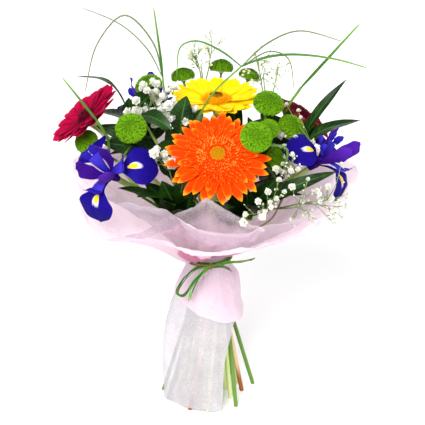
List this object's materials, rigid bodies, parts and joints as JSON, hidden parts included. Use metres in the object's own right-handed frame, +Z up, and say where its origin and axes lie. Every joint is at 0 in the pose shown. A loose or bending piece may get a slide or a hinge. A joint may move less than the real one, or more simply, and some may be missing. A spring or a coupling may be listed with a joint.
{
  "type": "mixed flower bouquet",
  "caption": "Hand-tied bouquet of gerberas, irises, button chrysanthemums, baby's breath, bear grass and leaves in a two-layer wrap tied at the neck, standing on splayed stems.",
  "frame": {"origin": "on the floor, at the cut end of the stem in the middle of the neck", "axes": "+Z up along the middle stem, -Y to the front of the wrap where the raffia is tied, +X to the viewer's right"},
  "size_m": [0.3329, 0.2865, 0.456],
  "materials": {
    "orange_petal": "soft satin, fine lengthwise veins",
    "yellow_petal": "soft satin, fine lengthwise veins",
    "crimson_petal": "soft satin, fine lengthwise veins",
    "dark_red_petal": "soft satin, fine lengthwise veins",
    "floret": "matte, fine and bristly",
    "dark_floret": "matte, fine and bristly",
    "iris_petal": "velvety, violet with a yellow flash on each fall",
    "button_green": "matte, tight small petals",
    "breath_white": "matte white florets on thin green twigs",
    "leaf": "waxy, half gloss",
    "grass": "satin",
    "stem": "smooth, satin",
    "wrap_white": "thin non-woven sheet, lets light through",
    "wrap_pink": "thin non-woven sheet, lets light through",
    "twine": "matte",
    "raffia": "papery, satin"
  },
  "bodies": {
    "root": {"binding_twine": "twine", "breath_mid_left": "breath_white", "breath_right": "breath_white", "breath_top": "breath_white", "breath_top_left": "breath_white", "breath_top_right": "breath_white", "button_back_1": "button_green", "button_back_2": "button_green", "button_back_left_1": "button_green", "button_back_left_2": "button_green", "button_back_left_stem": "stem", "button_back_stem": "stem", "button_front_1": "button_green", "button_front_2": "button_green", "button_front_stem": "stem", "button_left_1": "button_green", "button_left_2": "button_green", "button_left_stem": "stem", "button_right_1": "button_green", "button_right_2": "button_green", "button_right_3": "button_green", "button_right_stem": "stem", "gerbera_crimson_florets": "dark_floret", "gerbera_crimson_petals": "crimson_petal", "gerbera_crimson_stem": "stem", "gerbera_dark_red_florets": "dark_floret", "gerbera_dark_red_petals": "dark_red_petal", "gerbera_dark_red_stem": "stem", "gerbera_orange_florets": "floret", "gerbera_orange_petals": "orange_petal", "gerbera_orange_stem": "stem", "gerbera_yellow_florets": "floret", "gerbera_yellow_petals": "yellow_petal", "gerbera_yellow_stem": "stem", "grass_left": "grass", "grass_right": "grass", "grass_single_left": "grass", "grass_single_right": "grass", "iris_back_flower": "iris_petal", "iris_back_stem": "stem", "iris_left_flower": "iris_petal", "iris_left_stem": "stem", "iris_right_flower": "iris_petal", "iris_right_stem": "stem", "leaves_back": "leaf", "leaves_back_left": "leaf", "leaves_front_left": "leaf", "leaves_front_right": "leaf", "leaves_left": "leaf", "leaves_middle": "leaf", "leaves_right": "leaf", "raffia_band": "raffia", "raffia_bow": "raffia", "wrap_pink": "wrap_pink", "wrap_white": "wrap_white"}
  },
  "joints": []
}
